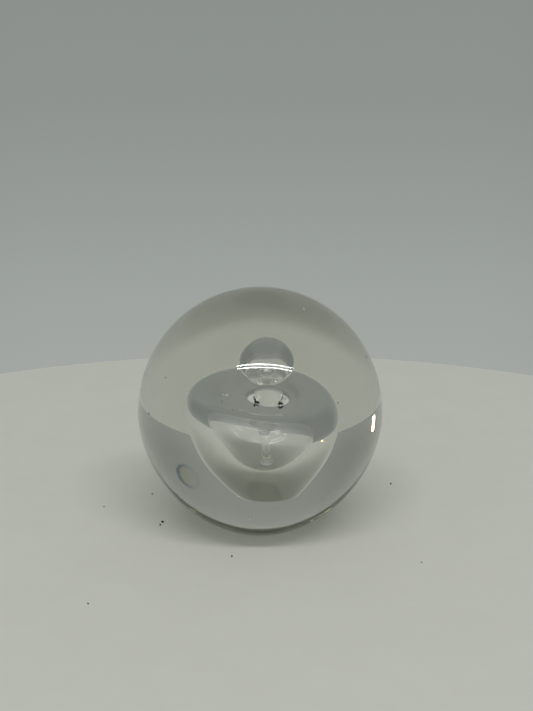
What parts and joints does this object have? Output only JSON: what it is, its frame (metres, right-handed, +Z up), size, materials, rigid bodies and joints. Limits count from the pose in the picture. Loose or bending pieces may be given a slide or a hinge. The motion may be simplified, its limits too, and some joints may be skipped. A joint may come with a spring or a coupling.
{
  "type": "paperweight",
  "caption": "Clear glass ball paperweight with a flat ground base, sealed air pockets inside and a hanging drip of glass.",
  "frame": {"origin": "centre of the flat ground base", "axes": "+Z up through the middle of the ball; +X to the right as the object is usually seen, the side that the pockets stand off to"},
  "size_m": [0.076, 0.076, 0.0759],
  "materials": {
    "casing_glass": "fire-polished, flat ground and polished underneath",
    "inner_glass": "clear, fused to the casing"
  },
  "bodies": {
    "root": {"outer_casing": "casing_glass", "middle_gather": "inner_glass", "core_gather": "inner_glass"}
  },
  "joints": []
}
